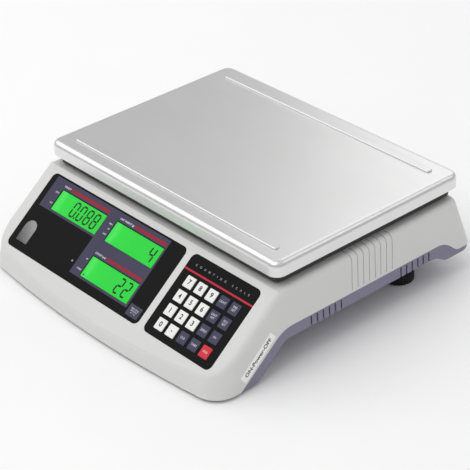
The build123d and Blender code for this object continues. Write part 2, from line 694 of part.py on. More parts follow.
with BuildPart() as keypad_overlay:
    with BuildSketch(PANEL.offset(-OVERLAY_SHEET)):
        with Locations(((KEYPAD_LEFT + KEYPAD_RIGHT) / 2, PANEL_MIDDLE_V)):
            RectangleRounded(
                KEYPAD_RIGHT - KEYPAD_LEFT - 2 * OVERLAY_GAP,
                OVERLAY_HEIGHT - 2 * OVERLAY_GAP,
                OVERLAY_CORNER_R - OVERLAY_GAP,
            )
        for name, u, v in key_places():
            with Locations((u, v)):
                RectangleRounded(KEY_W + 2 * KEY_GAP, KEY_W + 2 * KEY_GAP, KEY_CORNER_R, mode=Mode.SUBTRACT)
    extrude(amount=OVERLAY_SHEET)
save(keypad_overlay, "keypad_overlay")

for name, u, v in key_places():
    with BuildPart() as key:
        with BuildSketch(on_panel(u, v, KEY_SINK)):
            RectangleRounded(KEY_W, KEY_W, KEY_CORNER_R)
        extrude(amount=KEY_SINK + KEY_PROUD)
        top_edges = key.faces().filter_by(lambda face: (face.normal_at() - PANEL.z_dir).length < 0.01).edges()
        chamfer(top_edges, KEY_PROUD * 0.6)
    save(key, name)

# ---------------------------------------------------------------- displays and boards
for name, (u, v) in LCD_CENTRES.items():
    with BuildPart() as lcd:
        with BuildSketch(on_panel(u, v, LCD_SINK + LCD_GLASS)):
            Rectangle(LCD_W, LCD_H)
        extrude(amount=LCD_GLASS)
    save(lcd, name)

with BuildPart() as lcd_backlights:
    for u, v in LCD_CENTRES.values():
        with BuildSketch(on_panel(u, v, LCD_SINK + LCD_GLASS + BACKLIGHT)):
            Rectangle(LCD_W, LCD_H)
            with Locations((LCD_W / 2 + 1, 0)):
                Rectangle(2, 10)
        extrude(amount=BACKLIGHT)
save(lcd_backlights, "lcd_backlights")

BOARD_T = 1.6
DISPLAY_BOARD_SINK = LCD_SINK + LCD_GLASS + BACKLIGHT
DISPLAY_BOARD_LEFT = -137.0
DISPLAY_BOARD_RIGHT = 50.0
DISPLAY_BOARD_H = 79.0
DISPLAY_BOARD_V = -42.5

with BuildPart() as display_board:
    board_u = (DISPLAY_BOARD_LEFT + DISPLAY_BOARD_RIGHT) / 2
    with BuildSketch(PANEL.offset(-DISPLAY_BOARD_SINK - BOARD_T)):
        with Locations((board_u, DISPLAY_BOARD_V)):
            RectangleRounded(DISPLAY_BOARD_RIGHT - DISPLAY_BOARD_LEFT, DISPLAY_BOARD_H, 2)
        with Locations((DISPLAY_BOARD_LEFT, DISPLAY_BOARD_V - DISPLAY_BOARD_H / 2)):
            Rectangle(68, 66, mode=Mode.SUBTRACT)
    extrude(amount=BOARD_T)
    with BuildSketch(PANEL.offset(-DISPLAY_BOARD_SINK - BOARD_T - 3)):
        with Locations((-70, -25), (-40, -25), (-10, -60), (20, -25)):
            Rectangle(16, 8)
    extrude(amount=3)
save(display_board, "display_board")

KEYPAD_BOARD_SINK = 3.0
DOME_R = 4.2
DOME_H = 1.2

with BuildPart() as keypad_board:
    with BuildSketch(PANEL.offset(-KEYPAD_BOARD_SINK - BOARD_T)):
        with Locations((KEY_FIELD_U, KEY_FIELD_V)):
            RectangleRounded(KEY_FIELD_W + 8, KEY_FIELD_H + 8, 2)
    extrude(amount=BOARD_T)
save(keypad_board, "keypad_board")

with BuildPart() as key_domes:
    for name, u, v in key_places():
        with BuildSketch(on_panel(u, v, KEYPAD_BOARD_SINK)):
            Circle(DOME_R)
        extrude(amount=DOME_H, taper=40)
save(key_domes, "key_domes")

MAIN_BOARD_CENTRE = (-90.0, -30.0)
MAIN_BOARD_Z = PLATE_Z + 5
MAIN_BOARD_SCREWS = [
    (MAIN_BOARD_CENTRE[0] + x, MAIN_BOARD_CENTRE[1] + y) for x in (-55, 55) for y in (-24, 24)
]

with BuildPart() as main_board:
    with BuildSketch(Plane.XY.offset(MAIN_BOARD_Z)):
        with Locations(MAIN_BOARD_CENTRE):
            RectangleRounded(120, 58, 2)
        with Locations(*MAIN_BOARD_SCREWS):
            Circle(SCREW_R + SCREW_CLEARANCE, mode=Mode.SUBTRACT)
    extrude(amount=BOARD_T)
    with BuildSketch(Plane.XY.offset(MAIN_BOARD_Z + BOARD_T)):
        with Locations((-120, -30), (-80, -18)):
            Rectangle(22, 14)
    extrude(amount=3)
    with BuildSketch(Plane.XY.offset(MAIN_BOARD_Z + BOARD_T)):
        with Locations((-52, -40), (-52, -26)):
            Circle(5)
    extrude(amount=14)
    with BuildSketch(Plane.XY.offset(MAIN_BOARD_Z + BOARD_T)):
        with Locations((-90, -50)):
            Rectangle(30, 8)
    extrude(amount=8)
save(main_board, "main_board")

with BuildPart() as board_screws:
    for centre in MAIN_BOARD_SCREWS:
        with BuildSketch(Plane.XY.offset(PLATE_Z)):
            with Locations(centre):
                Circle(SCREW_R)
        extrude(amount=MAIN_BOARD_Z + BOARD_T - PLATE_Z)
        with BuildSketch(Plane.XY.offset(PLATE_Z)):
            with Locations(centre):
                Circle(SCREW_HEAD_R)
        extrude(amount=MAIN_BOARD_Z - PLATE_Z)
        with BuildSketch(Plane.XY.offset(MAIN_BOARD_Z + BOARD_T)):
            with Locations(centre):
                Circle(SCREW_HEAD_R)
        extrude(amount=SCREW_HEAD_H)
save(board_screws, "board_screws")

RIBBON_T = 0.8
RIBBON_W = 25.0
RIBBON_U = -90.0

with BuildPart() as ribbon_cable:
    ribbon_start = (-50.0, MAIN_BOARD_Z + BOARD_T + 8.5)
    board_point = PANEL.from_local_coords(Vector(0, -50, -DISPLAY_BOARD_SINK - BOARD_T - 0.5))
    with BuildSketch(Plane.YZ.offset(RIBBON_U - RIBBON_W / 2)):
        with BuildLine() as ribbon_path:
            FilletPolyline(
                ribbon_start,
                (-50.0, 60.0),
                (-84.0, 57.0),
                (board_point.Y + 6 * SIN_TILT, board_point.Z - 6 * COS_TILT),
                (board_point.Y, board_point.Z),
                radius=3,
            )
            offset(ribbon_path.line, amount=RIBBON_T / 2, side=Side.BOTH)
        make_face()
    extrude(amount=RIBBON_W)
save(ribbon_cable, "ribbon_cable")

# ---------------------------------------------------------------- level
with BuildPart() as level_window:
    add(level_outline(on_panel(LEVEL_U, LEVEL_V, OVERLAY_SHEET), 0))
    extrude(amount=OVERLAY_SHEET, dir=PANEL.z_dir)
save(level_window, "level_window")

with BuildPart() as level_vial:
    with BuildSketch(on_panel(LEVEL_U, LEVEL_V, OVERLAY_SHEET + 7)):
        Circle(VIAL_R)
    extrude(amount=7)
save(level_vial, "level_vial")

# ---------------------------------------------------------------- battery
with BuildPart() as battery:
    with BuildSketch(Plane.XY.offset(PLATE_Z)):
        with Locations((0, BATTERY_CENTRE_Y)):
            RectangleRounded(BATTERY_X, BATTERY_Y, 1.5)
    extrude(amount=BATTERY_Z)
    fillet(battery.faces().sort_by(Axis.Z)[-1].edges(), 1)
    with BuildSketch(Plane.XY.offset(PLATE_Z + BATTERY_Z)):
        with Locations((-58, BATTERY_CENTRE_Y - 22), (-58, BATTERY_CENTRE_Y + 22)):
            Rectangle(5, 6)
    extrude(amount=4)
save(battery, "battery")

with BuildPart() as battery_cover:
    with BuildSketch(Plane.XY.offset(FLOOR_Z)):
        with Locations((0, COVER_CENTRE_Y)):
            RectangleRounded(COVER_X - 0.6, COVER_Y - 0.6, 3.7)
    extrude(amount=FLOOR)
    with BuildSketch(Plane.XY.offset(FLOOR_Z)):
        with Locations((0, COVER_CENTRE_Y - COVER_Y / 2 + 7)):
            SlotOverall(24, 7)
    extrude(amount=1.2, mode=Mode.SUBTRACT)
save(battery_cover, "battery_cover")

# ---------------------------------------------------------------- power switch and jack
FLANGE_T = 1.6
PIVOT_R = 1.1
PIVOT_LENGTH = 11.8
ROCKER_SIDE = Plane(
    origin=SLANT.from_local_coords(Vector(SWITCH_X, 0, FLANGE_T - ROCKER_AXIS_DEPTH)),
    x_dir=SLANT.x_dir.rotate(Axis((0, 0, 0), SLANT.y_dir), -ROCKER_TILT),
    z_dir=SLANT.y_dir * -1,
)

with BuildPart() as switch_body:
    with BuildSketch(SLANT):
        with Locations((SWITCH_X, 0)):
            RectangleRounded(SWITCH_FLANGE[0], SWITCH_FLANGE[1], 1)
    extrude(amount=FLANGE_T)
    with BuildSketch(SLANT):
        with Locations((SWITCH_X, 0)):
            Rectangle(*SWITCH_BODY)
    extrude(amount=-SWITCH_DEPTH)
    with BuildSketch(SLANT.offset(FLANGE_T)):
        with Locations((SWITCH_X, 0)):
            Rectangle(*SWITCH_WELL)
    extrude(amount=-SWITCH_WELL_DEPTH, mode=Mode.SUBTRACT)
    with BuildSketch(ROCKER_SIDE):
        Circle(PIVOT_R + 0.1)
    extrude(amount=PIVOT_LENGTH / 2 + 0.1, both=True, mode=Mode.SUBTRACT)
    with BuildSketch(SLANT.offset(-SWITCH_DEPTH)):
        with Locations((SWITCH_X - 5, 0), (SWITCH_X + 5, 0)):
            Rectangle(1, 4.8)
    extrude(amount=-7)
save(switch_body, "switch_body")

with BuildPart() as power_rocker:
    with BuildSketch(ROCKER_SIDE):
        with BuildLine():
            Polyline(
                (-7.9, 4.4), (0, 2.6), (7.9, 4.4), (7.2, -1.2), (2.5, -3.4), (-2.5, -3.4), (-7.2, -1.2), close=True
            )
        make_face()
    extrude(amount=ROCKER_W / 2, both=True)
    with BuildSketch(ROCKER_SIDE):
        Circle(PIVOT_R)
    extrude(amount=PIVOT_LENGTH / 2, both=True)
save(power_rocker, "power_rocker")

with BuildPart() as power_jack:
    with BuildSketch(SLANT):
        with Locations((JACK_X, 0)):
            Circle(JACK_R + 1.5)
    extrude(amount=FLANGE_T)
    with BuildSketch(SLANT):
        with Locations((JACK_X, 0)):
            Circle(JACK_R)
    extrude(amount=-JACK_DEPTH)
    with BuildSketch(SLANT.offset(FLANGE_T)):
        with Locations((JACK_X, 0)):
            Circle(JACK_BORE_R)
            Circle(JACK_PIN_R, mode=Mode.SUBTRACT)
    extrude(amount=-JACK_DEPTH + 1, mode=Mode.SUBTRACT)
save(power_jack, "power_jack")

# ---------------------------------------------------------------- levelling feet
for place, (foot_x, foot_y) in FOOT_NAMES.items():
    with BuildPart() as foot_screw:
        with BuildSketch(Plane.XY.offset(FOOT_DISC_LOW)):
            with Locations((foot_x, foot_y)):
                Circle(FOOT_R)
                with PolarLocations(FOOT_R + 0.4, FOOT_KNURLS):
                    Circle(1.1, mode=Mode.SUBTRACT)
        extrude(amount=FOOT_DISC_HIGH - FOOT_DISC_LOW)
        with BuildSketch(Plane.XY.offset(FOOT_DISC_HIGH)):
            with Locations((foot_x, foot_y)):
                Circle(FOOT_STUD_R)
        extrude(amount=FOOT_STUD_TOP - FOOT_DISC_HIGH)
        chamfer(foot_screw.faces().sort_by(Axis.Z)[-1].edges(), 0.8)
        with BuildSketch(Plane.XY.offset(FOOT_DISC_LOW)):
            with Locations((foot_x, foot_y)):
                Circle(FOOT_PAD_R + 0.3)
        extrude(amount=2.2, mode=Mode.SUBTRACT)
    save(foot_screw, f"foot_screw_{place}")

    with BuildPart() as foot_pad:
        with BuildSketch(Plane.XY):
            with Locations((foot_x, foot_y)):
                Circle(FOOT_PAD_R)
        extrude(amount=FOOT_DISC_LOW + 2)
        chamfer(foot_pad.faces().sort_by(Axis.Z)[0].edges(), 0.6)
    save(foot_pad, f"foot_pad_{place}")

with BuildPart() as foot_nuts:
    with BuildSketch(Plane.XY.offset(NUT_Z)):
        with Locations(*FOOT_NAMES.values()):
            RegularPolygon(NUT_R, 6)
            Circle(FOOT_STUD_R + 0.1, mode=Mode.SUBTRACT)
    extrude(amount=NUT_H)
save(foot_nuts, "foot_nuts")

# ---------------------------------------------------------------- case screws and label
with BuildPart() as case_screws:
    for centre in CASE_SCREWS_FRONT:
        add(screw(centre, TRAY_FOOT_Z + SCREW_HEAD_H - 0.4, 14))
    for centre in CASE_SCREWS_MIDDLE:
        add(screw(centre, FLOOR_Z, 14))
    for centre in PLATE_SCREWS:
        add(screw(centre, FLOOR_Z, 7))
save(case_screws, "case_screws")

LABEL_LENGTH = 50.0
LABEL_WIDTH = 10.1
LABEL_T = 0.12
LABEL_Y = -111.4
LABEL_Z = 30.9
LABEL_TURN = 40.0

with BuildPart() as switch_label:
    label_x = half_width(LABEL_Z)
    draft = math.atan2(HALF_WIDTH_FOOT - HALF_WIDTH_TOP, HOUSING_TOP_Z)
    label_plane = Plane(
        origin=(label_x, LABEL_Y, LABEL_Z), x_dir=(0, 1, 0), z_dir=(math.cos(draft), 0, math.sin(draft))
    )
    with BuildSketch(label_plane):
        Rectangle(LABEL_LENGTH, LABEL_WIDTH, rotation=LABEL_TURN)
    extrude(amount=LABEL_T)
save(switch_label, "switch_label")
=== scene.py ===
"""Looks of the counting scale: materials, printed graphics, display digits and a plain studio.

Graphics are thin solids laid on the CAD faces. Their places are read from the frame: a Sheet is a CAD
face with its own flat coordinates (u, v) in millimetres, and each print is set out from the windows,
keys and edges found on it.
"""
import json
import math

import bmesh
import bpy
from mathutils import Matrix, Vector


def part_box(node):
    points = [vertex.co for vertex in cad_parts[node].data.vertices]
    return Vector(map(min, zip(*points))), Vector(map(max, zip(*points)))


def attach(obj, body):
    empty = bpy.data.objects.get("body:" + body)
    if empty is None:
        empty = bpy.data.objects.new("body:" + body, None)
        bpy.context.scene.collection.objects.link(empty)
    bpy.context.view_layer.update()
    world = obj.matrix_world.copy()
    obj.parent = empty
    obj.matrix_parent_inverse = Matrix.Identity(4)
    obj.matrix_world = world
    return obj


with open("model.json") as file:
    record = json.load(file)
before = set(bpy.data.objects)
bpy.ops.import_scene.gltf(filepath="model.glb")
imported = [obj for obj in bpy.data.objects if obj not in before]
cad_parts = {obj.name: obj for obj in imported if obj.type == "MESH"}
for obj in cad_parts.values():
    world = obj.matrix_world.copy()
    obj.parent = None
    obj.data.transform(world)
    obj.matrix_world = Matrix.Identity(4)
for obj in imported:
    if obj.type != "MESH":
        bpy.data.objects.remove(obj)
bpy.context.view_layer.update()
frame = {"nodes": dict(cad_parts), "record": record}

NODES = frame["nodes"]
MM = 0.001

# ---------------------------------------------------------------- colours, linear light
WHITE_PRINT = (0.72, 0.72, 0.74)
GREY_PRINT = (0.34, 0.35, 0.36)
DARK_INK = (0.03, 0.03, 0.033)
SLATE_PRINT = (0.062, 0.058, 0.1)
RED_BAR = (0.34, 0.018, 0.04)
RED_LINE = (0.52, 0.028, 0.05)
LCD_SEGMENT = (0.004, 0.045, 0.007)
BLACK = (0.006, 0.006, 0.0065)
LCD_GREEN = (0.026, 0.46, 0.046)
LCD_PALE = (0.06, 0.54, 0.085)
# painted light on the smoked window: painted shade at its lower left, a painted sheen at its upper right
SMOKE_PAINTED_SHADE = (0.04, 0.04, 0.042)
SMOKE_PAINTED_SHEEN = (0.36, 0.36, 0.36)
CLEAR_LOW = (0.82, 0.86, 0.84)
CLEAR_HIGH = (0.92, 0.95, 0.93)
MASK_DARK = (0.006, 0.075, 0.028)
MASK_LIGHT = (0.01, 0.11, 0.04)
TRACK = (0.03, 0.2, 0.07)
FLOOR_WHITE = (0.97, 0.97, 0.97)

# ---------------------------------------------------------------- textures (depths in metres)
DRIFT_SCALE = 9.0
CLOUD_SCALE = 6.0
MOTTLE_SCALE = 60.0
FLOW_SCALE = 120.0
HAZE_SCALE = 400.0
CORE_SCALE = 250.0
TRACK_SCALE = 140.0
TRACK_WIDTH = 0.03
RUBBER_GRAIN = 1200.0
FOOT_RIBS = 36.0
FOOT_RIB_DEPTH = 0.0003
CORE_DEPTH = 0.0002
TRACK_DEPTH = 0.00003
LCD_GLOW = 0.5
LCD_MOTTLE = 0.06

# ---------------------------------------------------------------- node helpers


def new_material(name):
    """An empty principled material: returns (material, nodes, links, shader)."""
    material = bpy.data.materials.new(name)
    material.use_nodes = True
    tree = material.node_tree
    return material, tree.nodes, tree.links, tree.nodes["Principled BSDF"]


def placed(nodes, links, location=(0.0, 0.0, 0.0), scale=(1.0, 1.0, 1.0)):
    """Object coordinates, scaled and then moved: returns the vector's socket."""
    place = nodes.new("ShaderNodeTexCoord")
    mapping = nodes.new("ShaderNodeMapping")
    mapping.inputs["Location"].default_value = location
    mapping.inputs["Scale"].default_value = scale
    links.new(place.outputs["Object"], mapping.inputs["Vector"])
    return mapping.outputs["Vector"]


def noise(nodes, links, scale, detail=2.0, stretch=(1.0, 1.0, 1.0)):
    """A noise texture in object space, stretched along the axes: returns its value's socket."""
    texture = nodes.new("ShaderNodeTexNoise")
    texture.inputs["Scale"].default_value = scale
    texture.inputs["Detail"].default_value = detail
    links.new(placed(nodes, links, scale=stretch), texture.inputs["Vector"])
    return texture.outputs["Fac"]


def ramp(nodes, links, source, stops):
    """A colour ramp fed by source: stops are (position, (r, g, b)). Returns the colour's socket."""
    node = nodes.new("ShaderNodeValToRGB")
    while len(node.color_ramp.elements) < len(stops):
        node.color_ramp.elements.new(0.5)
    for element, (position, colour) in zip(node.color_ramp.elements, stops):
        element.position = position
        element.color = (*colour, 1.0)
    links.new(source, node.inputs["Fac"])
    return node.outputs["Color"]


def map_range(nodes, links, source, low, high, start=0.3, end=0.7):
    """Maps start to end of the source onto low to high: returns the result's socket."""
    node = nodes.new("ShaderNodeMapRange")
    node.inputs["From Min"].default_value = start
    node.inputs["From Max"].default_value = end
    node.inputs["To Min"].default_value = low
    node.inputs["To Max"].default_value = high
    links.new(source, node.inputs["Value"])
    return node.outputs["Result"]


def bump(nodes, links, shader, height, distance):
    """Adds a bump to the shader. distance is in metres."""
    node = nodes.new("ShaderNodeBump")
    node.inputs["Distance"].default_value = distance
    node.inputs["Strength"].default_value = 1.0
    links.new(height, node.inputs["Height"])
    links.new(node.outputs["Normal"], shader.inputs["Normal"])


def across(nodes, links, node, lean):
    """A value that runs from 0 to 1 across one node's box along x and z. lean is the share of each."""
    low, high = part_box(node)
    sizes = [b - a for a, b in zip(low, high)]
    location = [-a / size for a, size in zip(low, sizes)]
    scale = [1 / size for size in sizes]
    along = nodes.new("ShaderNodeVectorMath")
    along.operation = "DOT_PRODUCT"
    along.inputs[1].default_value = (lean[0], 0.0, lean[1])
    links.new(placed(nodes, links, location, scale), along.inputs[0])
    return along.outputs["Value"]


def shade(colour, factor):
    """The colour made lighter or darker."""
    return tuple(min(1.0, c * factor) for c in colour)


def moulded(name, colour, rough, grain=2200.0, depth=0.00003, vary=0.03, specular=0.4):
    """Moulded plastic or rubber with a fine spark texture and faint colour drift."""
    material, nodes, links, shader = new_material(name)
    drift = noise(nodes, links, DRIFT_SCALE, 3.0)
    stops = [(0.35, shade(colour, 1 - vary)), (0.65, shade(colour, 1 + vary))]
    links.new(ramp(nodes, links, drift, stops), shader.inputs["Base Color"])
    spark = noise(nodes, links, grain)
    links.new(map_range(nodes, links, spark, *rough), shader.inputs["Roughness"])
    bump(nodes, links, shader, spark, depth)
    shader.inputs["Specular IOR Level"].default_value = specular
    return material


def metal(name, colour, rough, grain, stretch=(1.0, 1.0, 1.0), depth=0.00001, metallic=1.0):
    """Metal with a directional or even grain in its roughness, colour and bump."""
    material, nodes, links, shader = new_material(name)
    streak = noise(nodes, links, grain, 4.0, stretch)
    cloud = noise(nodes, links, CLOUD_SCALE, 3.0)
    stops = [(0.3, shade(colour, 0.96)), (0.7, colour)]
    links.new(ramp(nodes, links, cloud, stops), shader.inputs["Base Color"])
    links.new(map_range(nodes, links, streak, *rough), shader.inputs["Roughness"])
    bump(nodes, links, shader, streak, depth)
    shader.inputs["Metallic"].default_value = metallic
    return material


def ink(name, colour, rough=(0.5, 0.6)):
    """Screen-printed ink: a thin matt layer with slight mottling."""
    return moulded(name, colour, rough=rough, grain=2600.0, depth=0.000006, vary=0.05, specular=0.15)


def lit_glass(name, colour, paler, glow, node):
    """A backlit green display: paler at its left end, with faint mottling and a smooth surface."""
    material, nodes, links, shader = new_material(name)
    mottle = noise(nodes, links, MOTTLE_SCALE, 3.0)
    shift = nodes.new("ShaderNodeMath")
    shift.operation = "MULTIPLY_ADD"
    shift.inputs[1].default_value = LCD_MOTTLE
    links.new(mottle, shift.inputs[0])
    links.new(across(nodes, links, node, (1.0, 0.0)), shift.inputs[2])
    stops = [(0.03, shade(colour, 1.1)), (0.1, paler), (0.2, shade(colour, 1.06)), (0.5, colour)]
    tint = ramp(nodes, links, shift.outputs["Value"], stops)
    links.new(tint, shader.inputs["Base Color"])
    links.new(tint, shader.inputs["Emission Color"])
    links.new(map_range(nodes, links, mottle, 0.3, 0.36), shader.inputs["Roughness"])
    shader.inputs["Emission Strength"].default_value = glow
    shader.inputs["Specular IOR Level"].default_value = 0.06
    return material


def smoked_window_painted_light(name, dark, light, node):
    """A tinted glossy window with painted light: a painted sheen at its upper right and painted shade at its
    lower left.
    """
    material, nodes, links, shader = new_material(name)
    middle = tuple((a + b) / 2 for a, b in zip(dark, light))
    # painted light: the colour runs from painted shade at the lower left to a painted sheen at the upper
    # right
    lean = across(nodes, links, node, (0.4, 0.6))
    stops = [(0.05, dark), (0.55, middle), (0.95, light)]
    links.new(ramp(nodes, links, lean, stops), shader.inputs["Base Color"])
    haze = noise(nodes, links, HAZE_SCALE)
    links.new(map_range(nodes, links, haze, 0.22, 0.3), shader.inputs["Roughness"])
    shader.inputs["Specular IOR Level"].default_value = 0.4
    return material


def clear_plastic(name):
    """Water-clear moulded plastic with faint flow haze."""
    material, nodes, links, shader = new_material(name)
    flow = noise(nodes, links, FLOW_SCALE, 3.0)
    stops = [(0.3, CLEAR_LOW), (0.7, CLEAR_HIGH)]
    links.new(ramp(nodes, links, flow, stops), shader.inputs["Base Color"])
    links.new(map_range(nodes, links, flow, 0.05, 0.14), shader.inputs["Roughness"])
    shader.inputs["Transmission Weight"].default_value = 0.85
    return material


def circuit_board(name):
    """Green solder mask over a grid of paler tracks."""
    material, nodes, links, shader = new_material(name)
    tracks = nodes.new("ShaderNodeTexBrick")
    tracks.inputs["Scale"].default_value = TRACK_SCALE
    tracks.inputs["Mortar Size"].default_value = TRACK_WIDTH
    tracks.inputs["Color1"].default_value = (*MASK_DARK, 1.0)
    tracks.inputs["Color2"].default_value = (*MASK_LIGHT, 1.0)
    tracks.inputs["Mortar"].default_value = (*TRACK, 1.0)
    place = nodes.new("ShaderNodeTexCoord")
    links.new(place.outputs["Object"], tracks.inputs["Vector"])
    links.new(tracks.outputs["Color"], shader.inputs["Base Color"])
    rough = map_range(nodes, links, tracks.outputs["Fac"], 0.32, 0.45, 0.0, 1.0)
    links.new(rough, shader.inputs["Roughness"])
    bump(nodes, links, shader, tracks.outputs["Fac"], TRACK_DEPTH)
    return material


def ribbed_cable_painted_shade(name, colour):
    """Flat ribbon cable: fine parallel cores, with painted shade in the creases between them."""
    material, nodes, links, shader = new_material(name)
    wave = nodes.new("ShaderNodeTexWave")
    wave.inputs["Scale"].default_value = CORE_SCALE
    place = nodes.new("ShaderNodeTexCoord")
    links.new(place.outputs["Object"], wave.inputs["Vector"])
    # painted shade: darker in the creases between the cores
    stops = [(0.1, shade(colour, 0.6)), (0.6, colour)]
    links.new(ramp(nodes, links, wave.outputs["Fac"], stops), shader.inputs["Base Color"])
    shader.inputs["Roughness"].default_value = 0.5
    bump(nodes, links, shader, wave.outputs["Fac"], CORE_DEPTH)
    return material


def knurled_with_painted_rib_shade(name, colour, node):
    """Black rubber with vertical grip ribs round the axis of one foot, with painted shade in the grooves and
    a painted highlight on the crests.
    """
    low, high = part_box(node)
    material, nodes, links, shader = new_material(name)
    to_axis = (-(low[0] + high[0]) / 2, -(low[1] + high[1]) / 2, 0.0)
    axes = nodes.new("ShaderNodeSeparateXYZ")
    angle = nodes.new("ShaderNodeMath")
    angle.operation = "ARCTAN2"
    ribs = nodes.new("ShaderNodeMath")
    ribs.operation = "MULTIPLY"
    ribs.inputs[1].default_value = FOOT_RIBS
    wave = nodes.new("ShaderNodeMath")
    wave.operation = "SINE"
    links.new(placed(nodes, links, to_axis), axes.inputs["Vector"])
    links.new(axes.outputs["Y"], angle.inputs[0])
    links.new(axes.outputs["X"], angle.inputs[1])
    links.new(angle.outputs["Value"], ribs.inputs[0])
    links.new(ribs.outputs["Value"], wave.inputs[0])
    share = map_range(nodes, links, wave.outputs["Value"], 0.0, 1.0, -1.0, 1.0)
    # painted shade in the grooves and a painted highlight on the crests of the ribs
    stops = [(0.1, shade(colour, 0.6)), (0.9, shade(colour, 1.5))]
    links.new(ramp(nodes, links, share, stops), shader.inputs["Base Color"])
    grain = noise(nodes, links, RUBBER_GRAIN)
    links.new(map_range(nodes, links, grain, 0.55, 0.7), shader.inputs["Roughness"])
    bump(nodes, links, shader, wave.outputs["Value"], FOOT_RIB_DEPTH)
    return material


# ---------------------------------------------------------------- materials
STREAKS_ALONG_X = (0.02, 1.0, 1.0)
STREAKS_ALONG_Y = (1.0, 0.05, 1.0)

BY_SLOT = {
    "light_plastic": moulded("light_plastic", (0.69, 0.69, 0.68), rough=(0.46, 0.56), vary=0.012),
    "slate_plastic": moulded("slate_plastic", (0.22, 0.21, 0.292), rough=(0.46, 0.56)),
    "black_plastic": moulded("black_plastic", BLACK, rough=(0.4, 0.52)),
    "pan_steel": metal("pan_steel", (0.78, 0.78, 0.778), (0.28, 0.36), 900.0, STREAKS_ALONG_X),
    # the pan support is near black: partly its own black coat, partly painted shade that darkens the gap
    # under the pan
    "cast_alloy": metal(
        "cast_alloy", (0.024, 0.025, 0.027), (0.5, 0.62), 1400.0, depth=0.00004, metallic=0.0
    ),
    "cell_alloy": metal("cell_alloy", (0.7, 0.71, 0.72), (0.3, 0.42), 700.0, STREAKS_ALONG_Y),
    "zinc_steel": metal("zinc_steel", (0.58, 0.59, 0.6), (0.26, 0.4), 900.0),
    "black_rubber": moulded("black_rubber", (0.014, 0.014, 0.015), rough=(0.65, 0.8), grain=900.0),
    "black_overlay": moulded(
        "black_overlay", BLACK, rough=(0.5, 0.6), grain=3000.0, depth=0.00001, specular=0.09
    ),
    "clear_plastic": clear_plastic("clear_plastic"),
    "circuit_board": circuit_board("circuit_board"),
    "cable_grey": ribbed_cable_painted_shade("cable_grey", (0.35, 0.36, 0.38)),
    "battery_black": moulded("battery_black", (0.02, 0.021, 0.024), rough=(0.35, 0.45), grain=1500.0),
    "label_white": moulded(
        "label_white", (0.93, 0.93, 0.91), rough=(0.5, 0.6), grain=1800.0, depth=0.00001
    ),
    "key_white": moulded("key_white", (0.86, 0.86, 0.85), rough=(0.36, 0.46), grain=2600.0, vary=0.01),
    "key_slate": moulded(
        "key_slate", (0.06, 0.056, 0.104), rough=(0.45, 0.55), grain=2600.0, specular=0.2
    ),
    "key_red": moulded("key_red", (0.62, 0.012, 0.028), rough=(0.36, 0.46), grain=2600.0),
}
INKS = {
    "white_print": ink("white_print", WHITE_PRINT),
    "grey_print": ink("grey_print", GREY_PRINT),
    "dark_ink": ink("dark_ink", DARK_INK),
    "slate_print": ink("slate_print", SLATE_PRINT),
    "red_bar": ink("red_bar", RED_BAR),
    "red_line": ink("red_line", RED_LINE),
    "lcd_segment": ink("lcd_segment", LCD_SEGMENT, rough=(0.2, 0.26)),
}


def dress_nodes():
    """Gives each CAD node its slot's material. Displays, window and foot pads get one fitted to their box."""
    for row in frame["record"]["subparts"]:
        name = row["node"]
        if name.startswith("foot_pad_"):
            material = knurled_with_painted_rib_shade(name + "_rubber", BLACK, name)
        elif row["material_slot"] == "lcd_green":
            material = lit_glass(name + "_glass", LCD_GREEN, LCD_PALE, LCD_GLOW, name)
        # the smoked window's colour carries painted shade and a painted sheen
        elif row["material_slot"] == "smoked_lens":
            material = smoked_window_painted_light(name + "_lens", SMOKE_PAINTED_SHADE, SMOKE_PAINTED_SHEEN, name)
        else:
            material = BY_SLOT[row["material_slot"]]
        mesh = NODES[name].data
        mesh.materials.clear()
        mesh.materials.append(material)


# ---------------------------------------------------------------- flat faces of the frame
FACE_MATCH = 0.995
FACE_TOWARD = 0.7


